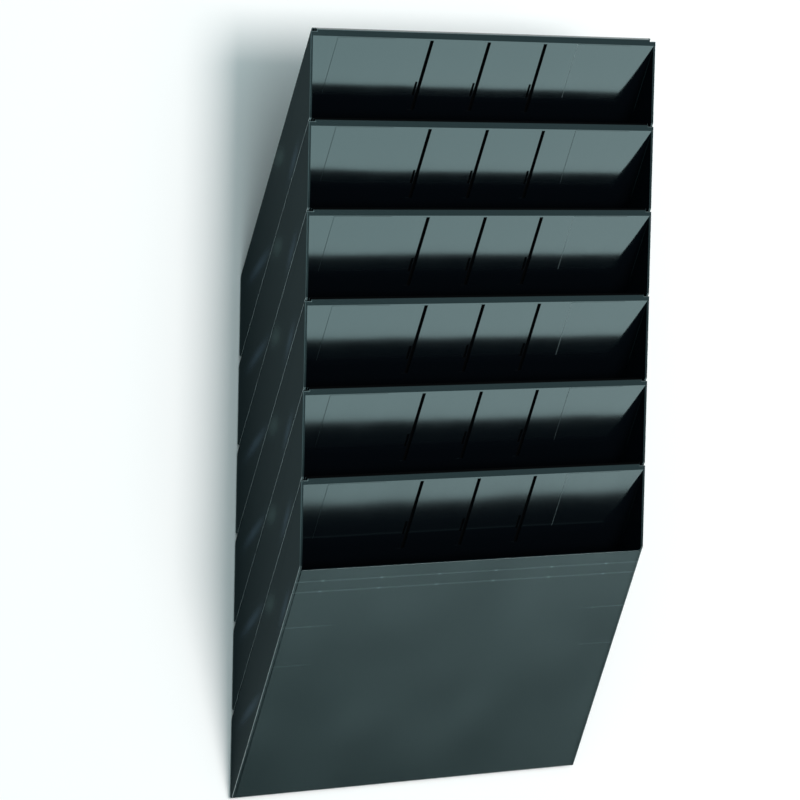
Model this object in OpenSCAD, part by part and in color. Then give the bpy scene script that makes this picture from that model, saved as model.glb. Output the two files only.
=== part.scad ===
// Wall rack for charts: six like open-fronted pockets, moulded in black plastic.
// Each pocket hooks over the front panel of the one above, so the stack hangs together.
// Keyholes in the top and bottom pocket hang on four screws driven into wall plugs.
// X runs to the viewer's right, Y into the wall and Z up. The wall is the plane Y = 0.
// The origin is the middle of the four screws, on the wall.

/* [Rack] */
// Width of a pocket across its mouth
rack_w = 348; // [280:1:420]
// Height from one pocket to the next
pitch = 61.6; // [50:0.2:72]
// Distance from the wall to the front of the mouths
front_reach = 66; // [56:0.5:76]

/* [Pocket] */
// Thickness of the front and back panels
panel_t = 1.6; // [1.2:0.1:2.2]
// Thickness of the side walls
side_t = 2; // [1.4:0.1:2.8]
// Thickness of the upright wall that lies on the building's wall
back_t = 2; // [1.4:0.1:2.8]
// Drop from the mouth's top corner to where the back panel meets the wall
back_drop = 172; // [160:0.5:186]
// Depth of the flat foot, from the wall
foot_w = 2.2; // [2:0.1:3]
// How much each side leans in between mouth and foot
side_draft = 1; // [0:0.1:3]
// Radius of the bend where the back panel meets the wall
bend_r = 14; // [4:1:24]
// Radius on the two corners of the foot
foot_r = 0.9; // [0.3:0.1:1.1]
// Radius on the lower front corner of the side walls
tip_r = 1.5; // [0.5:0.1:3]

/* [Front panel edge] */
// Distance from a pocket's side to the edge of its front panel
panel_inset = 2.9; // [2:0.1:5]
// Height of the front panel above the side walls' edges
panel_proud = 0.15; // [0.05:0.05:0.4]
// Width of the groove that frames the front panel
frame_groove_w = 0.6; // [0.3:0.1:1.2]
// Depth of the groove that frames the front panel
frame_groove_d = 0.5; // [0.2:0.1:0.8]

/* [Hook] */
// Clearance between nested pockets
nest_gap = 0.25; // [0.15:0.05:0.4]
// Thickness of the flange over the next front panel's top edge
hook_t = 2; // [1.2:0.1:2.6]
// Thickness of the lip behind the next front panel
lip_t = 1; // [0.8:0.1:1.6]
// Height of that lip
lip_h = 4.6; // [3:0.1:8]
// Width of the notch at each end of the hook
notch_w = 6; // [4:0.1:9]
// Depth of that notch in the back panel's top edge
notch_d = 1.4; // [0.6:0.1:3]

/* [Divider tracks] */
// Width of a divider's shallow track
track_w = 6.4; // [6:0.2:12]
// Depth of the shallow track
track_d = 0.25; // [0.1:0.05:0.4]
// Width of the slot along the track's right side
slot_w = 3; // [1.6:0.1:3.2]
// Depth of the slot
slot_d = 1; // [0.5:0.1:1.1]
// Length of slot and track down the back panel
slot_len = 52; // [40:1:90]
// Distance from the mouth's face to the start of the slot
slot_start = 1.2; // [0.5:0.1:5]
// Width of the latch beside the slot: a narrow pocket and the tongue next to it
latch_w = 3; // [2:0.1:3.2]
// Width of that tongue between the latch pocket and the slot
tongue_w = 1; // [0.6:0.1:1.2]
// Length of the latch pocket
latch_len = 10; // [6:0.5:16]
// Distance from the latch pocket to the slot's lower end
latch_rest = 11; // [4:0.5:20]

/* [Label pads] */
// Width of a raised label pad on the back panel
pad_w = 56; // [40:1:70]
// Length of the pad down the back panel
pad_len = 41; // [30:1:52]
// Height of the pad above the back panel
pad_d = 0.2; // [0.1:0.05:0.3]
// Distance from the pad to the side wall
pad_side = 24; // [12:1:30]

/* [Keyholes] */
// Distance between the two keyholes of a pocket
key_span = 250; // [160:1:260]
// Drop from the bend at the wall to the screw
key_below = 17; // [14:0.5:22]
// Diameter of the round entry
key_entry_d = 9.4; // [9:0.1:11]
// Width of the slot that the screw slides up
key_slot_w = 4.6; // [4.4:0.1:5.4]
// Height between the entry's centre and the screw's seat
key_travel = 9; // [8:0.5:12]

/* [Wall fixings] */
// Diameter of the screw's shank
shank_d = 4; // [3.5:0.1:4.2]
// Diameter of the screw's pan head
head_d = 8; // [7:0.1:8.6]
// Height of the screw's head
head_h = 2.6; // [2:0.1:3.4]
// Clearance between the head and the pocket's upright wall
head_gap = 0.3; // [0.2:0.05:0.5]
// Radius around the head's top
head_r = 1.2; // [0.6:0.1:1.8]
// Width of one arm of the cross in the head
cross_w = 1.1; // [0.8:0.1:1.4]
// Length of the cross
cross_l = 4.6; // [3.5:0.1:5.5]
// Depth of the cross
cross_d = 1.3; // [0.8:0.1:1.6]
// Length of the screw's point
point_l = 5; // [3:0.5:7]
// Diameter of the wall plug
plug_d = 6; // [5.5:0.1:8]
// Length of the wall plug
plug_l = 30; // [25:1:40]
// How far the screw's shank runs past the plug
shank_past = 1; // [0.5:0.1:3]
// How much narrower the plug's bore is than the shank
plug_bite = 0.1; // [0.05:0.05:0.2]
// Width of the slit that lets the plug spread
slit_w = 1; // [0.6:0.1:1.4]
// Length of that slit
slit_l = 20; // [12:1:24]

/* [Hidden] */
pocket_count = 6;

// Where the divider tracks stand across the inside, and how much of a pocket is inside
divider_shares = [1 / 3, 1 / 2, 2 / 3];
inner_w = rack_w - 2 * side_t;
over = front_reach / 12;
arc_steps = 6;

// Lean of the back panel from upright, and its directions down the slope and towards the wall
lean = atan(front_reach / back_drop);
down = [sin(lean), -cos(lean)];
rear = [cos(lean), sin(lean)];

// Outer face of the front panel: parallel to the back panel, just behind that of the next pocket
nest_point = [-front_reach, -pitch] + nest_gap * rear;
function face_z(y) = nest_point.y - (y - nest_point.x) / tan(lean);
function inner_face_z(y) = face_z(y) + panel_t / sin(lean);
function back_z(y) = -(y + front_reach + panel_t / cos(lean)) / tan(lean);
pocket_drop = -face_z(-foot_w);

// Hook: its reach covers the next front panel with a gap on both sides
hook_reach = 2 * nest_gap + panel_t + lip_t;
panel_top = nest_point + (hook_t + nest_gap) * down;

// Screws: two in the top pocket and two in the bottom one
screw_rows = [1, pocket_count];
key_drop = back_drop + key_below;
stack_top = key_drop + (pocket_count - 1) * pitch / 2;
screw_len = back_t + head_gap + plug_l + shank_past;
function pocket_z(i) = stack_top - (i - 1) * pitch;

// Points of an arc of radius r that rounds the corner b between a and c
function unit(v) = v / norm(v);
function corner(a, b, c, r) =
    let (u = unit(a - b), v = unit(c - b),
         half = acos(u * v) / 2,
         mid = b + unit(u + v) * r / sin(half),
         p = b + u * r / tan(half) - mid,
         q = b + v * r / tan(half) - mid,
         turn = (p.x * q.y - p.y * q.x > 0 ? 1 : -1) * (180 - 2 * half))
    [for (s = [0 : arc_steps])
        let (t = turn * s / arc_steps)
        mid + [p.x * cos(t) - p.y * sin(t), p.x * sin(t) + p.y * cos(t)]];

// A pocket seen from the side, in Y and Z from the mouth's top corner
mouth_top = [-front_reach, 0];
wall_top = [0, -back_drop];
wall_foot = [0, -pocket_drop];
foot_point = [-foot_w, -pocket_drop];
mouth_tip = [-front_reach, face_z(-front_reach)];
side_outline = concat([mouth_top],
    corner(mouth_top, wall_top, wall_foot, bend_r),
    corner(wall_top, wall_foot, foot_point, foot_r),
    corner(wall_foot, foot_point, mouth_tip, foot_r),
    corner(foot_point, mouth_tip, mouth_top, tip_r));

// The space inside, open at the front above the front panel's top edge
cavity_outline = [
    [-front_reach - over, back_z(-front_reach - over)],
    [-back_t, back_z(-back_t)],
    [-back_t, inner_face_z(-back_t)],
    panel_top + panel_t * rear,
    panel_top - over * rear];

// Extrudes a Y and Z outline across X, centred
module across(w) {
    rotate([90, 0, 90]) linear_extrude(w, center = true) children();
}

// Everything between the leaning sides, drawn in by inset
module between_sides(inset) {
    function half_w(z) = rack_w / 2 - inset + side_draft * z / pocket_drop;
    high = over;
    low = -pocket_drop - over;
    rotate([90, 0, 0]) linear_extrude(2 * (front_reach + over), center = true)
        polygon([[-half_w(low), low], [half_w(low), low], [half_w(high), high], [-half_w(high), high]]);
}

// Local frame of the back panel: Y towards the wall, Z up the slope, from the mouth's top corner
module on_back() {
    translate([0, mouth_top.x, mouth_top.y]) rotate([lean, 0, 0]) children();
}

// A box cut into the back panel's inner face, from top down the slope
module panel_cut(x, w, top, len, depth) {
    on_back() translate([x, -panel_t - over, -top - len]) cube([w, over + depth, len]);
}

// A band of the front face between two insets, cut to depth
module face_band(outer_inset, inner_inset, depth) {
    strip = [mouth_tip - over * down - over * rear, mouth_tip - over * down + depth * rear,
             foot_point + over * down + depth * rear, foot_point + over * down - over * rear];
    intersection() {
        across(rack_w + over) polygon(strip);
        difference() {
            between_sides(outer_inset);
            between_sides(inner_inset);
        }
    }
}

module moulded_shell() {
    difference() {
        intersection() {
            across(rack_w + over) polygon(side_outline);
            between_sides(0);
        }
        intersection() {
            across(rack_w) polygon(cavity_outline);
            between_sides(side_t);
        }
        face_band(-over, panel_inset, panel_proud);
        face_band(panel_inset - frame_groove_w, panel_inset, frame_groove_d);
    }
}

// The flange over the next front panel ends at the notches, and the lip behind it runs on past them
module hook() {
    heel = mouth_top + hook_reach * rear;
    flange_outline = [mouth_top, heel, heel + hook_t * down, mouth_top + hook_t * down, [-front_reach, -hook_t]];
    lip_outline = [heel, heel + lip_h * down, heel + lip_h * down - lip_t * rear, heel - lip_t * rear];
    across(rack_w - 2 * notch_w) polygon(flange_outline);
    across(inner_w - 2 * (side_draft + nest_gap)) polygon(lip_outline);
}

module notches() {
    for (side = [-1, 1])
        on_back() translate([side * (rack_w / 2 + over - notch_w), 0, over - notch_d])
            cube([2 * over, 2 * (hook_reach + over), 2 * over], center = true);
}

module divider_tracks() {
    start = panel_t / tan(lean) + slot_start;
    for (share = divider_shares) {
        left = (share - 1 / 2) * inner_w - track_w / 2;
        slot_x = left + track_w - slot_w;
        panel_cut(left, track_w, start, slot_len, track_d);
        panel_cut(slot_x, slot_w, start, slot_len, slot_d);
        panel_cut(slot_x - latch_w, latch_w - tongue_w, start + slot_len - latch_rest - latch_len, latch_len, slot_d);
    }
}

module label_pads() {
    start = (panel_t + pad_d) / tan(lean);
    for (side = [-1, 1])
        on_back() translate([side * (inner_w / 2 - pad_side - pad_w / 2) - pad_w / 2, -panel_t - pad_d, -start - pad_len])
            cube([pad_w, panel_t / 2 + pad_d, pad_len]);
}

// A hole along Y through the upright wall
module wall_hole(d) {
    rotate([90, 0, 0]) cylinder(d = d, h = 2 * over, center = true, $fn = 48);
}

module keyholes() {
    for (side = [-1, 1]) translate([side * key_span / 2, 0, -key_drop]) {
        wall_hole(key_slot_w);
        translate([0, 0, -key_travel]) wall_hole(key_entry_d);
        translate([-key_slot_w / 2, -over, -key_travel]) cube([key_slot_w, 2 * over, key_travel]);
    }
}

module pocket(i) {
    color([0.08, 0.09, 0.095]) translate([0, 0, pocket_z(i)]) difference() {
        union() {
            difference() {
                moulded_shell();
                notches();
            }
            hook();
            label_pads();
        }
        divider_tracks();
        keyholes();
    }
}

// Middle of screw or plug number i on the wall: left before right, top before bottom
module at_fixing(i) {
    row = screw_rows[floor((i - 1) / 2)];
    side = (i - 1) % 2 == 0 ? -1 : 1;
    translate([side * key_span / 2, 0, pocket_z(row) - key_drop]) children();
}

// Turned about Z, then laid along +Y, with its zero at the underside of the head
module wall_screw(i) {
    head_outline = concat([[0, -head_h]],
        corner([0, -head_h], [head_d / 2, -head_h], [head_d / 2, 0], head_r),
        [[head_d / 2, 0], [0, 0]]);
    color([0.72, 0.73, 0.74]) at_fixing(i) translate([0, -back_t - head_gap, 0]) rotate([-90, 0, 0])
        difference() {
            union() {
                rotate_extrude($fn = 48) polygon(head_outline);
                translate([0, 0, -head_h / 4]) cylinder(d = shank_d, h = screw_len - point_l + head_h / 4, $fn = 48);
                translate([0, 0, screw_len - point_l])
                    cylinder(d1 = shank_d, d2 = shank_d / 8, h = point_l, $fn = 48);
            }
            for (turn = [0, 90]) rotate([0, 0, turn]) translate([0, 0, -head_h])
                cube([cross_l, cross_w, 2 * cross_d], center = true);
        }
}

module wall_plug(i) {
    color([0.62, 0.63, 0.65]) at_fixing(i) rotate([-90, 0, 0]) difference() {
        cylinder(d = plug_d, h = plug_l, $fn = 48);
        translate([0, 0, -over]) cylinder(d = shank_d - plug_bite, h = plug_l + 2 * over, $fn = 48);
        translate([-slit_w / 2, -over, plug_l - slit_l]) cube([slit_w, 2 * over, slit_l + over]);
    }
}

for (i = [1 : pocket_count]) pocket(i);
for (i = [1 : 4]) wall_screw(i);
for (i = [1 : 4]) wall_plug(i);
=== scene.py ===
# %% [markdown]
# # A wall rack for charts
#
# The real rack is a stack of six identical pockets, each moulded in one piece from glossy
# black plastic, and each hooked over the front panel of the one above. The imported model
# already has the right solids, so this notebook leaves the sizes alone and works on the looks:
# softened mould edges, plastic that is glossy inside and satin on its front panel, ribbed wall
# plugs, threaded screws, and the soft light of a photographer's studio.

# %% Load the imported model
import math

import bmesh
import bpy
import numpy as np
from mathutils import Matrix, Quaternion, Vector


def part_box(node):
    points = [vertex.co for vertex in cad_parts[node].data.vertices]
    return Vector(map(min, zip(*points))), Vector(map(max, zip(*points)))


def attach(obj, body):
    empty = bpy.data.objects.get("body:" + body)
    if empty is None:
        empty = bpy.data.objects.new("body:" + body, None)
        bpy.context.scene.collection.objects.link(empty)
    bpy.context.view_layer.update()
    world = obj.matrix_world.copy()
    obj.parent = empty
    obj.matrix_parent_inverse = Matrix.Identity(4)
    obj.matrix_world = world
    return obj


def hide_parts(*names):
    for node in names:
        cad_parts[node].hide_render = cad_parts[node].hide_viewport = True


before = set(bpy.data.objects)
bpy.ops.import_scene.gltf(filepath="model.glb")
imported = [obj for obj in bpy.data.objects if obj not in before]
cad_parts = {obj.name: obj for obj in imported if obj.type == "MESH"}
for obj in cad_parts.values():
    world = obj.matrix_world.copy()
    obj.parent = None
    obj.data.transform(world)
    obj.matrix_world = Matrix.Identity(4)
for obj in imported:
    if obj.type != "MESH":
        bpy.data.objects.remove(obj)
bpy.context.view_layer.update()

# %% [markdown]
# ## Reading sizes from the model
#
# A script that measures its model keeps fitting when the model changes. The pockets are all
# alike, so the top one is enough: its box gives the mouth and the wall, and the normal of its
# largest sloping triangle gives the lean of the panels.

# %% Measure a pocket
POCKETS = [f"pocket_{i}" for i in range(1, 7)]
top_low, top_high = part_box("pocket_1")
PITCH = top_high.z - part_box("pocket_2")[1].z
REACH = -top_low.y
HALF_W = top_high.x


def triangles_of(node):
    """Corner points of a CAD node's triangles, as an array of shape (n, 3, 3)."""
    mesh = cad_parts[node].data
    co = np.empty(len(mesh.vertices) * 3)
    mesh.vertices.foreach_get("co", co)
    mesh.calc_loop_triangles()
    corners = np.empty(len(mesh.loop_triangles) * 3, int)
    mesh.loop_triangles.foreach_get("vertices", corners)
    return co.reshape(-1, 3)[corners].reshape(-1, 3, 3)


tris = triangles_of("pocket_1")
cross = np.cross(tris[:, 1] - tris[:, 0], tris[:, 2] - tris[:, 0])
sloping = (cross[:, 1] > 0) & (cross[:, 2] > 0) & (np.abs(cross[:, 0]) < 1e-9)
rear_face = cross[sloping][np.argmax(np.linalg.norm(cross[sloping], axis=1))]
LEAN = math.atan2(rear_face[2], rear_face[1])
DOWN = np.array([0.0, math.sin(LEAN), -math.cos(LEAN)])
REAR = np.array([0.0, math.cos(LEAN), math.sin(LEAN)])
MOUTH_Z = float(tris[np.abs(tris[:, :, 1] + REACH) < 1e-5][:, 2].max())
print(f"pitch {PITCH * 1000:.1f} mm, reach {REACH * 1000:.1f} mm, lean {math.degrees(LEAN):.2f} degrees")
print(f"mouth at z {MOUTH_Z * 1000:.1f} mm")


# %% [markdown]
# ## Effects shared by the finishes
#
# Moulded plastic is never quite flat. It waves slowly between its thick spots, and a glossy face
# shows that as a bent edge in its reflections. On top of that lies a very fine grain, and the
# shine differs a little from place to place. This goes into one node group, so that each finish
# only says how strong it is. The group gives a normal and a roughness, and the shader stays in
# the material.

# %% Node helpers
FLOAT, VECTOR, COLOUR = "NodeSocketFloat", "NodeSocketVector", "NodeSocketColor"
COLOUR_A, COLOUR_B, COLOUR_OUT = 6, 7, 2


def new_group(name, inputs, outputs):
    """A shader node group. inputs and outputs map a socket's name to its type and default."""
    group = bpy.data.node_groups.new(name, "ShaderNodeTree")
    for way, sockets in (("INPUT", inputs), ("OUTPUT", outputs)):
        for label, (kind, default) in sockets.items():
            socket = group.interface.new_socket(label, in_out=way, socket_type=kind)
            if default is not None:
                socket.default_value = default
    return group, group.nodes.new("NodeGroupInput"), group.nodes.new("NodeGroupOutput")


def add(tree, kind, links=(), **values):
    """Adds a node. values set its properties, and links are (input, output socket or number)."""
    node = tree.nodes.new(kind)
    for key, value in values.items():
        setattr(node, key, value)
    for key, source in links:
        if isinstance(source, bpy.types.NodeSocket):
            tree.links.new(source, node.inputs[key])
        else:
            node.inputs[key].default_value = source
    return node


def math_node(tree, operation, *numbers):
    """A Math node's output, for example math_node(tree, "ADD", socket, 0.5)."""
    return add(tree, "ShaderNodeMath", list(enumerate(numbers)), operation=operation).outputs[0]


def blend(tree, factor, first, second):
    """A Mix node between two colour sockets. Gives its colour output.

    The node has sockets of the same name for every type, so these are reached by number.
    """
    mixed = add(tree, "ShaderNodeMix", [("Factor", factor)], data_type="RGBA")
    tree.links.new(first, mixed.inputs[COLOUR_A])
    tree.links.new(second, mixed.inputs[COLOUR_B])
    return mixed.outputs[COLOUR_OUT]


# %% Slow waves and fine grain of a moulding
moulded, mould_in, mould_out = new_group(
    "Moulded surface",
    {"Wave height": (FLOAT, 0.0005), "Grain height": (FLOAT, 0.000002), "Roughness": (FLOAT, 0.1),
     "Roughness spread": (FLOAT, 0.02), "Normal": (VECTOR, None)},
    {"Normal": (VECTOR, None), "Roughness": (FLOAT, None)})
mould_in_normal = mould_in.outputs["Normal"]
place = add(moulded, "ShaderNodeTexCoord").outputs["Object"]
wave = add(moulded, "ShaderNodeTexNoise", [("Vector", place), ("Scale", 9.0), ("Detail", 1.0), ("Roughness", 0.4)])
grain = add(moulded, "ShaderNodeTexNoise", [("Vector", place), ("Scale", 1400.0), ("Detail", 2.0)])
smear = add(moulded, "ShaderNodeTexNoise", [("Vector", place), ("Scale", 38.0), ("Detail", 5.0), ("Roughness", 0.6)])
wavy = add(moulded, "ShaderNodeBump", [("Height", wave.outputs["Fac"]), ("Distance", mould_in.outputs["Wave height"]),
                                       ("Normal", mould_in_normal)])
grained = add(moulded, "ShaderNodeBump", [("Height", grain.outputs["Fac"]), ("Distance", mould_in.outputs["Grain height"]),
                                          ("Normal", wavy.outputs["Normal"])])
centred = math_node(moulded, "SUBTRACT", smear.outputs["Fac"], 0.5)
varied = math_node(moulded, "MULTIPLY_ADD", centred, mould_in.outputs["Roughness spread"], mould_in.outputs["Roughness"])
moulded.links.new(grained.outputs["Normal"], mould_out.inputs["Normal"])
moulded.links.new(varied, mould_out.inputs["Roughness"])
print("node group", moulded.name, "with", len(moulded.nodes), "nodes")

# %% [markdown]
# ## The lower part of a panel bows
#
# A sloping panel is stiff at its edges and gives a little in between. Its reflections show it:
# the bright band that a back panel mirrors ends early and softly, long before the dark inside
# of the pocket begins. The bow is far too shallow to model, so it is a height for a Bump node,
# read from a UV map that measures the panel: across in u and down the slope in v, both in
# metres. It grows with the cube of the distance, as a panel bends that is held along one side.
# On the side walls the same map holds the depth and the distance down instead.

# %% The bow of a panel
bowed, bow_in, bow_out = new_group(
    "Bowed panel",
    {"Start": (FLOAT, 0.0095), "Bow": (FLOAT, 25.5), "Normal": (VECTOR, None)},
    {"Normal": (VECTOR, None)})
panel_uv = add(bowed, "ShaderNodeUVMap", uv_map="panel").outputs["UV"]
split = add(bowed, "ShaderNodeSeparateXYZ", [("Vector", panel_uv)])
past = math_node(bowed, "MAXIMUM", math_node(bowed, "SUBTRACT", split.outputs["Y"], bow_in.outputs["Start"]), 0.0)
bulge = math_node(bowed, "MULTIPLY", math_node(bowed, "POWER", past, 3.0), bow_in.outputs["Bow"])
height = math_node(bowed, "MULTIPLY", bulge, -1.0)
bow_bump = add(bowed, "ShaderNodeBump", [("Height", height), ("Distance", 1.0), ("Normal", bow_in.outputs["Normal"])])
bowed.links.new(bow_bump.outputs["Normal"], bow_out.inputs["Normal"])
print("node group", bowed.name, "with", len(bowed.nodes), "nodes")

# %% [markdown]
# ## Painted reflections on each side wall
#
# The side walls mirror the room, and where their faces are a little uneven they show faint
# bluish streaks and a pale patch, brighter parts of the room seen in them. These reflections are
# painted into the base colour, the same on every pocket: a streak low down, another along the
# front edge, and a pale patch beside that. A mask says where each one is: strongest in its middle
# and falling off like a bell curve along and across it.

# %% The marks as masks between colours
streaked, streak_in, streak_out = new_group(
    "Painted side reflections",
    {"Plastic": (COLOUR, (0.0, 0.0, 0.0, 1.0)), "Haze": (COLOUR, (0.0, 0.0, 0.0, 1.0)),
     "Pale": (COLOUR, (0.0, 0.0, 0.0, 1.0))},
    {"Color": (COLOUR, None)})
side_uv = add(streaked, "ShaderNodeUVMap", uv_map="panel").outputs["UV"]


def bell(middle, turn, size, peak):
    """A bell curve on a side wall.

    middle and size are (depth, distance down) in metres, and turn is in degrees.
    """
    inside = add(streaked, "ShaderNodeMapping", [("Vector", side_uv), ("Location", (*middle, 0.0)),
                                                 ("Rotation", (0.0, 0.0, math.radians(turn))),
                                                 ("Scale", (*size, 1.0))], vector_type="TEXTURE")
    spread = add(streaked, "ShaderNodeVectorMath", [(0, inside.outputs["Vector"])], operation="LENGTH").outputs["Value"]
    squared = math_node(streaked, "MULTIPLY", spread, spread)
    fall = math_node(streaked, "EXPONENT", math_node(streaked, "MULTIPLY", squared, -1.0))
    return math_node(streaked, "MULTIPLY", fall, peak)


# Painted reflections: bluish streaks and a pale patch in place of what the side walls mirror.
low_streak = bell((-0.0148, 0.1690), -19.0, (0.0027, 0.0130), 1.0)
front_streak = bell((-0.0186, 0.0900), 4.0, (0.0021, 0.0125), 0.85)
patch = bell((-0.0044, 0.0930), 0.0, (0.0045, 0.0068), 1.0)
patched = blend(streaked, patch, streak_in.outputs["Plastic"], streak_in.outputs["Pale"])
both_streaks = math_node(streaked, "MAXIMUM", low_streak, front_streak)
with_streak_reflections = blend(streaked, both_streaks, patched, streak_in.outputs["Haze"])
streaked.links.new(with_streak_reflections, streak_out.inputs["Color"])
print("node group", streaked.name, "with", len(streaked.nodes), "nodes")

# %% [markdown]
# ## Fine lines across the front panel
#
# The front panel shows two fine pale lines below its rim, with a short bright dash every 57 mm,
# and two much fainter ones further down that only show near its sides. They are shallow sink
# lines of the moulding, and their pale colour is a painted highlight: the light they catch is
# painted as a mask between two colours, and they get no height. Each line is a narrow bump of
# the distance from its middle, and the dashes repeat it across the panel with a modulo.

# %% The lines and dashes as a mask
lined, line_in, line_out = new_group(
    "Painted line highlights",
    {"Plastic": (COLOUR, (0.0, 0.0, 0.0, 1.0)), "Line": (COLOUR, (0.0, 0.0, 0.0, 1.0))},
    {"Color": (COLOUR, None)})
front_uv = add(lined, "ShaderNodeSeparateXYZ", [("Vector", add(lined, "ShaderNodeUVMap", uv_map="panel").outputs["UV"])])
across, down = front_uv.outputs["X"], front_uv.outputs["Y"]


def hump(value, middle, reach, peak):
    """A smooth hump of a value: peak at the middle and zero beyond the reach on both sides."""
    away = math_node(lined, "ABSOLUTE", math_node(lined, "SUBTRACT", value, middle))
    return add(lined, "ShaderNodeMapRange", [("Value", away), ("From Min", 0.0), ("From Max", reach), ("To Min", peak),
                                             ("To Max", 0.0)], interpolation_type="SMOOTHSTEP").outputs["Result"]


DASH_PITCH, DASH_FIRST, DASH_HALF, LINE_HALF = 0.0573, 0.0246, 0.0022, 0.0009
SIDE_MIDDLE, SIDE_REACH = 0.17, 0.075
LINES = (  # distance down, strength, extra strength of its dashes, all the way across
    (0.0112, 0.30, 0.75, True), (0.0193, 0.30, 0.65, True),
    (0.0463, 0.22, 0.30, False), (0.0762, 0.14, 0.15, False))
lattice = math_node(lined, "PINGPONG", math_node(lined, "SUBTRACT", across, DASH_FIRST), DASH_PITCH / 2)
dash = hump(lattice, 0.0, DASH_HALF, 1.0)
near_side = hump(math_node(lined, "ABSOLUTE", across), SIDE_MIDDLE, SIDE_REACH, 1.0)
mask = None
for middle, strength, dash_share, everywhere in LINES:
    level = math_node(lined, "MULTIPLY_ADD", dash, dash_share, strength)
    line = math_node(lined, "MULTIPLY", hump(down, middle, LINE_HALF, 1.0), level)
    if not everywhere:
        line = math_node(lined, "MULTIPLY", line, near_side)
    mask = line if mask is None else math_node(lined, "ADD", mask, line)
drawn = blend(lined, mask, line_in.outputs["Plastic"], line_in.outputs["Line"])
lined.links.new(drawn, line_out.inputs["Color"])
print("node group", lined.name, "with", len(lined.nodes), "nodes")

# %% [markdown]
# ## The plastics and the metal
#
# The plastic is almost black and a touch green-grey in its shine, so its Specular Tint carries
# that tone and its Base Color stays near black. Most of a pocket is polished. The outside of
# its front panel is satin: a fine texture on the mould hides finger marks there, and spreads a
# reflection wide. A rough finish that reflects almost nothing paints shade: it keeps the floors
# of the slots and latches black, and the dark lines between the pockets and at the wall. The
# outside of the side walls mirrors less than the rest and carries painted reflections, bluish
# streaks and a pale patch in its base colour. Every rounded edge has a base colour paler than the
# plastic, a painted highlight that the eye sees as a thin pale line, and the left edge of the
# right-hand label pad is painted paler still.

# %% A finish that uses the shared groups
def finish_of(name, colour, shader, surface, bow=False):
    """A material with a Principled BSDF.

    shader sets its own sockets and surface those of the moulded surface. bow adds the bow of a
    panel to its normal.
    """
    material = bpy.data.materials.new(name)
    material.use_nodes = True
    tree = material.node_tree
    bsdf = tree.nodes["Principled BSDF"]
    bsdf.inputs["Base Color"].default_value = (*colour, 1.0)
    for key, value in shader.items():
        bsdf.inputs[key].default_value = value
    skin = tree.nodes.new("ShaderNodeGroup")
    skin.node_tree = moulded
    for key, value in surface.items():
        skin.inputs[key].default_value = value
    normal = add(tree, "ShaderNodeNewGeometry").outputs["Normal"]
    if bow:
        bend = tree.nodes.new("ShaderNodeGroup")
        bend.node_tree = bowed
        tree.links.new(normal, bend.inputs["Normal"])
        normal = bend.outputs["Normal"]
    tree.links.new(normal, skin.inputs["Normal"])
    tree.links.new(skin.outputs["Normal"], bsdf.inputs["Normal"])
    tree.links.new(skin.outputs["Roughness"], bsdf.inputs["Roughness"])
    return material


def mark(material, group, **colours):
    """Puts a group of marks between its colours and the Base Color of a material."""
    tree = material.node_tree
    marks = tree.nodes.new("ShaderNodeGroup")
    marks.node_tree = group
    for key, colour in colours.items():
        marks.inputs[key].default_value = (*colour, 1.0)
    tree.links.new(marks.outputs["Color"], tree.nodes["Principled BSDF"].inputs["Base Color"])


SHINE = (0.55, 0.96, 1.0, 1.0)
BLACK = (0.0015, 0.0026, 0.004)
polished = finish_of("polished black plastic", BLACK, {"IOR": 1.5, "Specular Tint": SHINE},
                     {"Wave height": 0.0004, "Grain height": 0.0, "Roughness": 0.09, "Roughness spread": 0.04}, bow=True)
satin = finish_of("satin black plastic", (0.006, 0.0105, 0.0115), {"IOR": 1.5, "Specular Tint": SHINE},
                  {"Wave height": 0.0012, "Grain height": 0.000003, "Roughness": 0.24, "Roughness spread": 0.05})
flank = finish_of("black plastic of the sides", BLACK, {"IOR": 1.5, "Specular IOR Level": 0.27, "Specular Tint": SHINE},
                  {"Wave height": 0.0009, "Grain height": 0.0, "Roughness": 0.16, "Roughness spread": 0.05})
# Painted shade: this finish reflects almost nothing and is darker than the plastic, so the slot floors, the gaps
# between the pockets and the edges against the wall stay black.
rough = finish_of("dull black with painted shade", (0.0006, 0.0008, 0.001), {"IOR": 1.5, "Specular IOR Level": 0.02},
                  {"Wave height": 0.0, "Grain height": 0.00001, "Roughness": 0.7, "Roughness spread": 0.1})
# Painted highlights: the edge, rim and pad edge finishes have base colours far paler than the plastic, standing in for
# the light that the small rounds catch.
edge = finish_of("black edge with painted highlight", (0.04, 0.055, 0.058), {"IOR": 1.5, "Specular Tint": SHINE},
                 {"Wave height": 0.0, "Grain height": 0.000003, "Roughness": 0.30, "Roughness spread": 0.1})
rim = finish_of("painted edge highlight", (0.48, 0.58, 0.60), {"IOR": 1.5},
                {"Wave height": 0.0, "Grain height": 0.000003, "Roughness": 0.40, "Roughness spread": 0.1})
pad_edge_highlight = finish_of("painted pad edge highlight", (0.26, 0.32, 0.33), {"IOR": 1.5},
                    {"Wave height": 0.0, "Grain height": 0.000003, "Roughness": 0.40, "Roughness spread": 0.1})
zinc = finish_of("bright zinc", (0.62, 0.63, 0.64), {"Metallic": 1.0},
                 {"Wave height": 0.0, "Grain height": 0.000002, "Roughness": 0.28, "Roughness spread": 0.12})
nylon = finish_of("grey nylon", (0.34, 0.35, 0.36), {"IOR": 1.53, "Subsurface Weight": 0.05},
                  {"Wave height": 0.0, "Grain height": 0.000006, "Roughness": 0.5, "Roughness spread": 0.1})
# The side walls get their painted reflections in the base colour: bluish streaks and a pale patch.
mark(flank, streaked, Plastic=BLACK, Haze=(0.018, 0.028, 0.040), Pale=(0.018, 0.029, 0.029))
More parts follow.
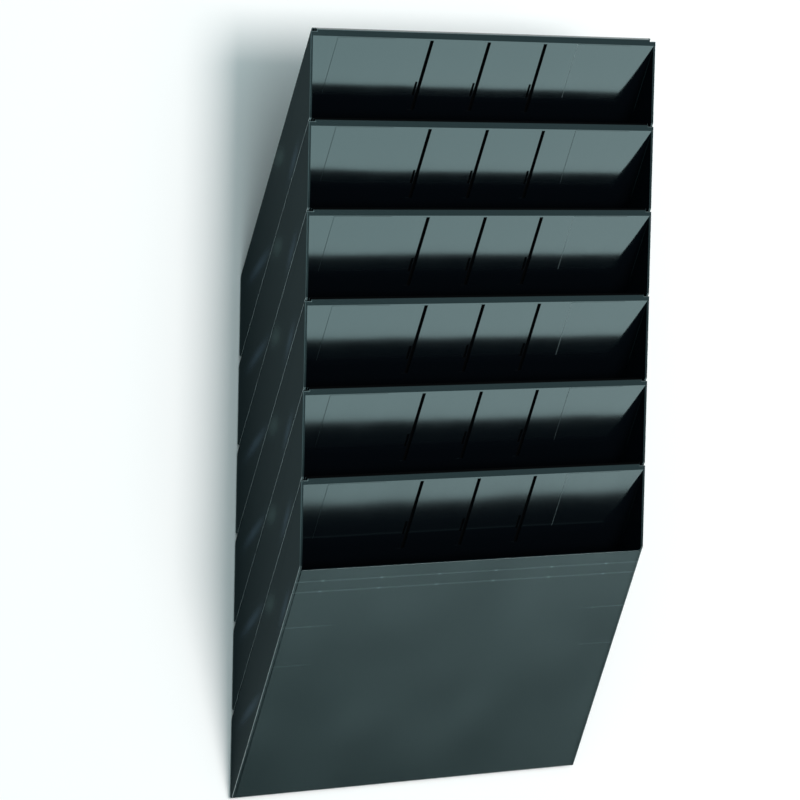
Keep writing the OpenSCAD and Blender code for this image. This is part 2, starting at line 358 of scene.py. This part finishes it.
# The front panel's lines get a painted highlight: a pale colour in a mask.
mark(satin, lined, Plastic=(0.0055, 0.0125, 0.0135), Line=(0.095, 0.14, 0.145))
print("finishes:", ", ".join(m.name for m in (polished, satin, flank, rough, edge, rim, pad_edge_highlight, zinc, nylon)))

# %% [markdown]
# ## Pockets with softened edges
#
# No moulded edge is razor sharp. Each is a small round, and on black plastic that round is what
# draws the object: it catches the light as a thin bright line. A copy of a CAD pocket is merged
# and its coplanar triangles are joined, then its edges are beveled in three steps: the shallow
# recesses of the back panel and the keyholes, the groove and step that frame the front panel,
# both with a very small chamfer, and last everything else with a larger round.
# Large flat faces keep flat shading, so that their reflections stay straight, and only the
# rounds are shaded smooth.

# %% Copy a node into a clean bmesh
def clean_copy(node):
    """A merged copy of a CAD node, with its coplanar triangles joined to whole faces."""
    bm = bmesh.new()
    bm.from_mesh(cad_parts[node].data)
    bmesh.ops.remove_doubles(bm, verts=bm.verts, dist=1e-6)
    bmesh.ops.dissolve_limit(bm, angle_limit=math.radians(0.6), verts=bm.verts, edges=bm.edges, delimit=set())
    bmesh.ops.recalc_face_normals(bm, faces=bm.faces)
    return bm


def sharp_edges(bm, degrees):
    """Edges whose two faces turn by more than an angle."""
    return [e for e in bm.edges if len(e.link_faces) == 2 and e.calc_face_angle(0) > math.radians(degrees)]


def down_panel(co, mouth_z):
    """Where a point lies on the back panel: (distance down the slope, depth towards the wall)."""
    rel = np.asarray(co) - (0.0, -REACH, mouth_z)
    return float(rel @ DOWN), float(rel @ REAR)


# %% Tell the shallow details from the main edges
EDGE_R, RECESS_R, STEP_R = 0.00035, 0.00008, 0.00006
SLOT_FLOOR, PANEL_FACE = -0.0021, -0.0002
NO_RECESS, LONGEST_RECESS = 0.015, 0.075
WALL_SKIN, LONGEST_KEYHOLE = 0.0022, 0.02
FRAME_OUT, FRAME_IN, FRAME_PLANE, FRAME_PLAY = 0.0016, 0.0052, 0.0002, 0.0006


def in_recess_depth(deep):
    """True between the back panel's face and the floor of its slots."""
    return SLOT_FLOOR < deep < PANEL_FACE


def in_recess(edge_, mouth_z):
    """True for an edge of the shallow details on the back panel and of the keyholes."""
    if any(abs(v.co.x) > HALF_W - NO_RECESS for v in edge_.verts):
        return False
    length = edge_.calc_length()
    on_panel = all(in_recess_depth(down_panel(v.co, mouth_z)[1]) for v in edge_.verts)
    at_wall = all(v.co.y > -WALL_SKIN for v in edge_.verts)
    return (on_panel and length < LONGEST_RECESS) or (at_wall and length < LONGEST_KEYHOLE)


def on_frame(edge_, mouth_z):
    """True for an edge of the groove and step that frame the front panel."""
    inside = all(HALF_W - FRAME_IN < abs(v.co.x) < HALF_W - FRAME_OUT for v in edge_.verts)
    near = all(abs(down_panel(v.co, mouth_z - PITCH)[1] - FRAME_PLANE) < FRAME_PLAY for v in edge_.verts)
    return inside and near


def flat_faces(bm, least_area=0.0012):
    """Faces whose direction, rounded, adds up to a large area: the panels, walls and floors."""
    sums = {}
    for f in bm.faces:
        key = tuple(round(c, 2) for c in f.normal)
        sums.setdefault(key, []).append(f)
    return {f for group in sums.values() if sum(f.calc_area() for f in group) > least_area for f in group}


# %% Choose the finish of each face
FINISHES = [polished, satin, rough, edge, rim, flank, pad_edge_highlight]
POLISHED, SATIN, ROUGH, EDGE, RIM, FLANK, PAD_EDGE_HIGHLIGHT = range(len(FINISHES))
TOP_PLAY, TOP_NEAR = 0.0001, 0.0006
PAD_FROM, SIDE_EDGE, SIDE_INNER, SIDE_FACE = 0.085, 0.0045, 0.008, 0.0016
RIM_ABOVE, RIM_BELOW, RIM_END = 0.0005, 0.0028, 0.006
FLOOR_DEEP, FLOOR_SHALLOW = -0.0011, -0.0004


def rounded_finish(centre, normal, mouth_z, forward_share):
    """The finish of a face that belongs to a round or to a small detail."""
    deep = down_panel(centre, mouth_z)[1]
    below, from_front = down_panel(centre, mouth_z - PITCH)
    off_middle = abs(centre.x)
    in_slots = in_recess_depth(deep) and off_middle < HALF_W - NO_RECESS
    if in_slots and off_middle > PAD_FROM:
        if normal.x > -0.5:
            return POLISHED
        # The pads' left edges get a painted highlight, paler on the right-hand pad.
        return PAD_EDGE_HIGHLIGHT if centre.x > 0.0 else EDGE
    faces_inwards = off_middle > HALF_W - SIDE_INNER and centre.x * normal.x < -0.3 * off_middle
    if faces_inwards and centre.y > -REACH + 0.002:
        return POLISHED
    # The rounds of the front panel's rim get a painted highlight.
    if abs(from_front) < 0.001 and -RIM_ABOVE < below < RIM_BELOW and off_middle < HALF_W - RIM_END:
        return RIM
    in_frame = HALF_W - FRAME_IN < off_middle < HALF_W - 0.0014 and abs(from_front - FRAME_PLANE) < FRAME_PLAY
    if in_frame and forward_share > 0.5:
        return SATIN
    outer = off_middle > HALF_W - SIDE_EDGE
    # At the front edges of the side walls a band of the pale finish is a painted highlight, and the rest is a painted
    # dark line of shade between the pockets.
    if outer and abs(from_front) < 0.0008 and centre.z < mouth_z - PITCH and forward_share > 0.1:
        return RIM if 0.5 < forward_share < 0.85 else ROUGH
    # Edges against the wall are painted in shade.
    if outer and abs(deep) < 0.0005 and forward_share < 0:
        return ROUGH
    # Other rounds get the painted highlight of the edge finish, and those in the slots the painted shade of the rough
    # finish.
    return ROUGH if in_slots else EDGE


def finish_index(face, flat, mouth_z, index):
    """Which of FINISHES a face of a pocket takes."""
    centre = face.calc_center_median()
    forward_share = face.normal.dot(Vector(-REAR))
    on_top = abs(centre.z - mouth_z) < TOP_NEAR and face.normal.z > 0.1
    # Tops hidden under the pocket above are painted in shade.
    if index > 0 and (centre.z > mouth_z + TOP_PLAY or on_top):
        return ROUGH
    if face not in flat:
        return rounded_finish(centre, face.normal, mouth_z, forward_share)
    if abs(face.normal.x) > 0.9 and abs(centre.x) > HALF_W - SIDE_FACE:
        return FLANK
    if forward_share > 0.9:
        if down_panel(centre, mouth_z - PITCH)[1] < 0.0007 and centre.z < mouth_z - PITCH:
            return SATIN
        # Shallow recess floors are painted in shade.
        if FLOOR_DEEP < down_panel(centre, mouth_z)[1] < FLOOR_SHALLOW and centre.z > mouth_z - PITCH:
            return ROUGH
    return POLISHED


# %% Soften one pocket
def soften(node, index):
    """The beveled copy of a pocket, with its finishes and its panel map."""
    bm = clean_copy(node)
    mouth_z = MOUTH_Z - index * PITCH
    small = [e for e in sharp_edges(bm, 25) if in_recess(e, mouth_z)]
    small_count = len(small)
    steps = [e for e in sharp_edges(bm, 25) if on_frame(e, mouth_z)]
    before = len(bm.faces)
    bmesh.ops.bevel(bm, geom=small, offset=RECESS_R, segments=1, profile=0.5, affect="EDGES", clamp_overlap=True)
    steps = [e for e in steps if e.is_valid]
    bmesh.ops.bevel(bm, geom=steps, offset=STEP_R, segments=1, profile=0.5, affect="EDGES", clamp_overlap=True)
    large = [e for e in sharp_edges(bm, 40) if not in_recess(e, mouth_z) and not on_frame(e, mouth_z)]
    large_count = len(large)
    bmesh.ops.bevel(bm, geom=large, offset=EDGE_R, segments=3, profile=0.5, affect="EDGES", clamp_overlap=False)
    flat = flat_faces(bm)
    panel = bm.loops.layers.uv.new("panel")
    for face in bm.faces:
        face.smooth = face not in flat
        face.material_index = finish_index(face, flat, mouth_z, index)
        sloping_face = face in flat and face.normal.dot(Vector(-REAR)) > 0.9
        front_side = face.material_index == SATIN
        for loop in face.loops:
            along, deep = down_panel(loop.vert.co, mouth_z - PITCH if front_side else mouth_z)
            if sloping_face:
                loop[panel].uv = (loop.vert.co.x, along)
            elif face.material_index == FLANK:
                loop[panel].uv = (deep, along)
            else:
                loop[panel].uv = (0.0, 0.0)
    mesh = bpy.data.meshes.new(node + "_moulding")
    bm.to_mesh(mesh)
    bm.free()
    piece = bpy.data.objects.new(node + "_moulding", mesh)
    bpy.context.scene.collection.objects.link(piece)
    for finish in FINISHES:
        mesh.materials.append(finish)
    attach(piece, "rack")
    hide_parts(node)
    return piece, before, small_count, large_count


for index, node in enumerate(POCKETS):
    piece, before, small, large = soften(node, index)
    if index == 0:
        print(f"{node}: {before} faces, {small} recess edges and {large} other edges beveled")
        print(f"{piece.name}: {len(piece.data.polygons)} faces")

# %% [markdown]
# ## Ribbed plugs and threaded screws
#
# A wall plug is a nylon tube, with barbs outside that grip the hole and a slit that lets the
# screw spread it. Its surface is an outline turned about the plug's axis: two parameters, the
# angle and the place along the outline. Inside the slit the outline drops to the bore. The
# screw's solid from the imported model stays, and gets a thread: a small triangle carried along a
# helix, thinner at both ends and following the point of the screw.

# %% Turn a grid of points into a closed mesh
def grid_piece(name, grid, wrap_rows, finish):
    """A closed mesh from a grid of points of shape (rows, columns, 3).

    The columns always close. The rows close too, or else both ends get a cap. Cell (i, j) is the
    quad of points (i, j), (i + 1, j), (i + 1, j + 1), (i, j + 1), counted round the grid.
    """
    rows, cols = grid.shape[:2]
    i = np.arange(rows if wrap_rows else rows - 1)[:, None]
    j = np.arange(cols)[None, :]
    here, there = (i % rows) * cols, ((i + 1) % rows) * cols
    quads = np.stack([here + j, there + j, there + (j + 1) % cols, here + (j + 1) % cols], axis=-1).reshape(-1, 4)
    caps = [] if wrap_rows else [list(range(cols)), list(range((rows - 1) * cols, rows * cols))]
    mesh = bpy.data.meshes.new(name)
    mesh.from_pydata(grid.reshape(-1, 3).tolist(), [], quads.tolist() + caps)
    bm = bmesh.new()
    bm.from_mesh(mesh)
    bmesh.ops.recalc_face_normals(bm, faces=bm.faces)
    bm.to_mesh(mesh)
    bm.free()
    mesh.materials.append(finish)
    piece = bpy.data.objects.new(name, mesh)
    bpy.context.scene.collection.objects.link(piece)
    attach(piece, "wall_fixings")
    return piece


# %% Turn the plugs
BARB_PITCH, BARB_DEPTH, COLLAR, TIP = 0.0018, 0.00042, 0.0035, 0.0040
BORE_SHARE, SLIT_SHARE, SLIT_HALF, SLIT_EDGE = 0.65, 2 / 3, math.radians(11.0), 0.004
TIP_TAPER, BORE_SKIN, POINTS_LONG, POINTS_ROUND = 0.22, 0.00002, 151, 64


def plug_surface(centre, radius, length):
    """Points (x + r cos a, y, z + r sin a) of a plug, for angles a round its axis.

    Outside, r is the radius less a barb, BARB_DEPTH * frac(y / BARB_PITCH), and less TIP_TAPER
    of the radius at the very tip. The outline comes back along the bore. Where a is within
    SLIT_HALF of straight up or down and y is in the slit, r is that of the bore.
    """
    y = np.linspace(0.0, length, POINTS_LONG)
    barbed = (y > COLLAR) & (y < length - TIP)
    r = radius - barbed * BARB_DEPTH * ((y / BARB_PITCH) % 1.0)
    r = r - TIP_TAPER * radius * np.clip((y - length + TIP) / TIP, 0.0, 1.0)
    edges = [q * math.pi / 2 + side * (SLIT_HALF + gap)
             for q in (1, 3) for side in (-1, 1) for gap in (-SLIT_EDGE, SLIT_EDGE)]
    angle = np.sort(np.concatenate([np.linspace(0.0, 2 * math.pi, POINTS_ROUND, endpoint=False), edges]))
    from_upright = np.abs(angle % math.pi - math.pi / 2)
    open_here = (from_upright < SLIT_HALF)[None, :] & (y > length * (1 - SLIT_SHARE))[:, None]
    outer = np.where(open_here, radius * BORE_SHARE + BORE_SKIN, r[:, None])
    outline_r = np.vstack([outer, np.full((2, len(angle)), radius * BORE_SHARE)])
    outline_y = np.concatenate([y, [length, 0.0]])[:, None]
    x = centre[0] + outline_r * np.cos(angle)
    z = centre[2] + outline_r * np.sin(angle)
    return np.stack([x, outline_y + 0.0 * x, z], axis=-1)


for i in range(1, 5):
    low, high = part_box(f"wall_plug_{i}")
    grid = plug_surface((low + high) / 2, (high.x - low.x) / 2, high.y - low.y)
    plug = grid_piece(f"ribbed_plug_{i}", grid, True, nylon)
    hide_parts(f"wall_plug_{i}")
print(f"4 plugs, each a grid of {grid.shape[0]} by {grid.shape[1]} points")

# %% Wind the threads
LEAD, CREST, HALF_BASE, POINT = 0.0014, 0.0003, 0.0003, 0.005
FOOT_SUNK, THREAD_FROM, THREAD_SHORT, POINTS_PER_TURN = 0.00005, 0.003, 0.0006, 28


def thread_surface(centre, shank, start, end):
    """Points of a thread: a triangle carried along a helix.

    The helix is (x + r cos p, y, z + r sin p) with y = start + LEAD * p / 2 pi. The
    triangle's foot lies FOOT_SUNK under the shank, whose radius falls to a fifth over the
    screw's point. Its height is CREST * min(1, 1.5 * turns from the nearer end).
    """
    turns = (end - start) / LEAD
    p = np.linspace(0.0, 2 * math.pi * turns, int(turns * POINTS_PER_TURN))
    y = start + LEAD * p / (2 * math.pi)
    root = shank * (1.0 - 0.8 * np.clip((y - end - 0.0004 + POINT) / POINT, 0.0, 1.0))
    rise = CREST * np.clip(1.5 * np.minimum(p, p[-1] - p) / (2 * math.pi), 0.02, 1.0)
    r = np.stack([root - FOOT_SUNK, root + rise, root - FOOT_SUNK], axis=1)
    along = y[:, None] + np.array([-HALF_BASE, 0.0, HALF_BASE])[None, :] * (rise / CREST)[:, None]
    return np.stack([centre[0] + r * np.cos(p)[:, None], along, centre[2] + r * np.sin(p)[:, None]], axis=-1)


for i in range(1, 5):
    low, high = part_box(f"wall_screw_{i}")
    plug_low, plug_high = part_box(f"wall_plug_{i}")
    shank = BORE_SHARE * (plug_high.x - plug_low.x) / 2 + FOOT_SUNK
    grid = thread_surface((low + high) / 2, shank, THREAD_FROM, high.y - THREAD_SHORT)
    grid_piece(f"screw_thread_{i}", grid, False, zinc)
    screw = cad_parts[f"wall_screw_{i}"]
    screw.data.materials.clear()
    screw.data.materials.append(zinc)
print(f"4 threads, each a triangle carried along {grid.shape[0]} points")

# %% [markdown]
# ## The wall
#
# The rack hangs on a white wall that carries its soft shadow. The wall is stage, not part of
# the object. Its back is clear to the camera, so that the rack can also be seen from behind.
# It is clear too for light that leaves a face of the rack less than 2 mm in front of it: those
# rear faces would be black from behind, and no other face is that near.

# %% Build the wall
WALL_HALF, WALL_Y, REAR_GAP = 3.0, 0.0006, 0.002
wall_mesh = bpy.data.meshes.new("wall")
corners = [(x * WALL_HALF, WALL_Y, z * WALL_HALF) for x, z in ((-1, -1), (1, -1), (1, 1), (-1, 1))]
wall_mesh.from_pydata(corners, [], [(0, 1, 2, 3)])
wall = bpy.data.objects.new("wall", wall_mesh)
bpy.context.scene.collection.objects.link(wall)
paint = bpy.data.materials.new("white wall paint")
paint.use_nodes = True
tree = paint.node_tree
bsdf = tree.nodes["Principled BSDF"]
bsdf.inputs["Base Color"].default_value = (0.98, 0.98, 0.98, 1.0)
bsdf.inputs["Roughness"].default_value = 0.9
bsdf.inputs["Specular IOR Level"].default_value = 0.0
clear = add(tree, "ShaderNodeBsdfTransparent")
facing = add(tree, "ShaderNodeNewGeometry")
rays = add(tree, "ShaderNodeLightPath")
to_camera = rays.outputs["Is Camera Ray"]
seen_back = math_node(tree, "MULTIPLY", facing.outputs["Backfacing"], to_camera)
bounce = math_node(tree, "SUBTRACT", 1.0, to_camera)
very_near = math_node(tree, "LESS_THAN", rays.outputs["Ray Length"], REAR_GAP)
from_rear = math_node(tree, "MULTIPLY", bounce, very_near)
see_through = math_node(tree, "MAXIMUM", seen_back, from_rear)
two_sides = add(tree, "ShaderNodeMixShader", [(0, see_through), (1, bsdf.outputs["BSDF"]),
                                              (2, clear.outputs["BSDF"])])
tree.links.new(two_sides.outputs["Shader"], tree.nodes["Material Output"].inputs["Surface"])
wall_mesh.materials.append(paint)

# %% [markdown]
# ## Light
#
# Glossy black plastic shows mostly what it mirrors, so the room is built from what each face
# reflects towards the camera. The room is bright and even on the right and dimmer on the left,
# which throws the soft shadow, and it is dark near its floor, which keeps the insides black. The
# sloping panels look down and to the right, at a small far soft panel: the glossy faces mirror
# it whole, and the satin ones mix it with the dark round it. The camera sees the room's own
# background as plain white, and so do mirrored rays that leave upwards. Those that leave
# downwards keep the dark floor, because that is what the black insides mirror.

# %% The room, as a world
def band(tree, value, low, high, dark, bright):
    """A smooth step: dark below low, bright above high."""
    return add(tree, "ShaderNodeMapRange", [("Value", value), ("From Min", low), ("From Max", high), ("To Min", dark),
                                            ("To Max", bright)], interpolation_type="SMOOTHSTEP").outputs["Result"]


FLOOR_GLOW, LEFT_GLOW, RIGHT_GLOW = 0.02, 1.0, 0.72
world = bpy.data.worlds.new("studio")
bpy.context.scene.world = world
world.use_nodes = True
room = world.node_tree
towards = add(room, "ShaderNodeSeparateXYZ", [("Vector", add(room, "ShaderNodeTexCoord").outputs["Generated"])])
sides = band(room, towards.outputs["X"], -0.35, 0.45, LEFT_GLOW, RIGHT_GLOW)
floor_share = band(room, towards.outputs["Z"], -0.42, -0.10, FLOOR_GLOW, 1.0)
strength = math_node(room, "MULTIPLY", sides, floor_share)
background = room.nodes["Background"]
room.links.new(strength, background.inputs["Strength"])
background.inputs["Color"].default_value = (0.80, 0.98, 1.0, 1.0)
white = add(room, "ShaderNodeBackground", [("Color", (1.0, 1.0, 1.0, 1.0)), ("Strength", 1.0)])
seen = add(room, "ShaderNodeLightPath")
upper = band(room, towards.outputs["Z"], 0.10, 0.30, 0.0, 1.0)
mirrored = math_node(room, "MULTIPLY", seen.outputs["Is Glossy Ray"], upper)
direct = math_node(room, "MAXIMUM", seen.outputs["Is Camera Ray"], seen.outputs["Is Transmission Ray"])
sees_white = math_node(room, "MAXIMUM", direct, mirrored)
both = add(room, "ShaderNodeMixShader", [(0, sees_white), (1, background.outputs["Background"]),
                                         (2, white.outputs["Background"])])
room.links.new(both.outputs["Shader"], room.nodes["World Output"].inputs["Surface"])
bpy.context.scene.view_settings.view_transform = "Standard"
print("world:", world.name, "with", len(room.nodes), "nodes")


# %% Place the lamps
def soft_panel(name, direction, distance, width, height, radiance, colour, turn=0.0, aim=(0.0, -0.03, 0.17)):
    """An area lamp facing the rack, turned in its own plane by some degrees.

    Its radiance is its power over pi times its area.
    """
    light = bpy.data.lights.new(name, "AREA")
    light.shape = "RECTANGLE"
    light.size, light.size_y = width, height
    light.energy = radiance * math.pi * width * height
    light.color = colour
    lamp = bpy.data.objects.new(name, light)
    bpy.context.scene.collection.objects.link(lamp)
    direction = Vector(direction).normalized()
    lamp.location = Vector(aim) + direction * distance
    lamp.rotation_mode = "QUATERNION"
    lamp.rotation_quaternion = direction.to_track_quat("Z", "Y") @ Quaternion((0.0, 0.0, 1.0), math.radians(turn))
    lamp.visible_camera = False
    return lamp


low_panel = soft_panel("low panel", (0.713, -0.527, -0.476), 12.0, 3.5, 2.1, 3.4, (0.95, 1.0, 1.0), turn=33.0)
key_panel = soft_panel("key panel", (0.36, -0.93, 0.10), 5.0, 3.4, 3.0, 5.15, (1.0, 0.91, 0.89))
print("lamps:", low_panel.name, "and", key_panel.name)

# %% [markdown]
# ## Camera
#
# The camera stands far off to the left with a long lens, so the rack's edges stay nearly
# parallel. Its place was found by fitting a pinhole camera to the rack's own corners.

# %% Place the camera
FOCAL_PX, FRAME_PX, SENSOR_MM = 5784.1, 800.0, 36.0
YAW, PITCH_DOWN, ROLL = (math.radians(a) for a in (45.0, 3.0726, 1.2725))
CAMERA_AT = (-2.9269, -2.9127, 0.3030)
forward = Vector((math.sin(YAW) * math.cos(PITCH_DOWN), math.cos(YAW) * math.cos(PITCH_DOWN), -math.sin(PITCH_DOWN)))
level = Vector((math.cos(YAW), -math.sin(YAW), 0.0))
upright = level.cross(forward)
right = level * math.cos(ROLL) + upright * math.sin(ROLL)
up = upright * math.cos(ROLL) - level * math.sin(ROLL)
camera = bpy.data.objects.new("camera", bpy.data.cameras.new("camera"))
bpy.context.scene.collection.objects.link(camera)
camera.data.sensor_width = SENSOR_MM
camera.data.lens = FOCAL_PX / FRAME_PX * SENSOR_MM
camera.data.clip_start, camera.data.clip_end = 0.1, 50.0
camera.matrix_world = Matrix.Translation(CAMERA_AT) @ Matrix((right, up, -forward)).transposed().to_4x4()
bpy.context.scene.camera = camera
print(f"lens {camera.data.lens:.1f} mm, {camera.location.length:.2f} m from the rack")
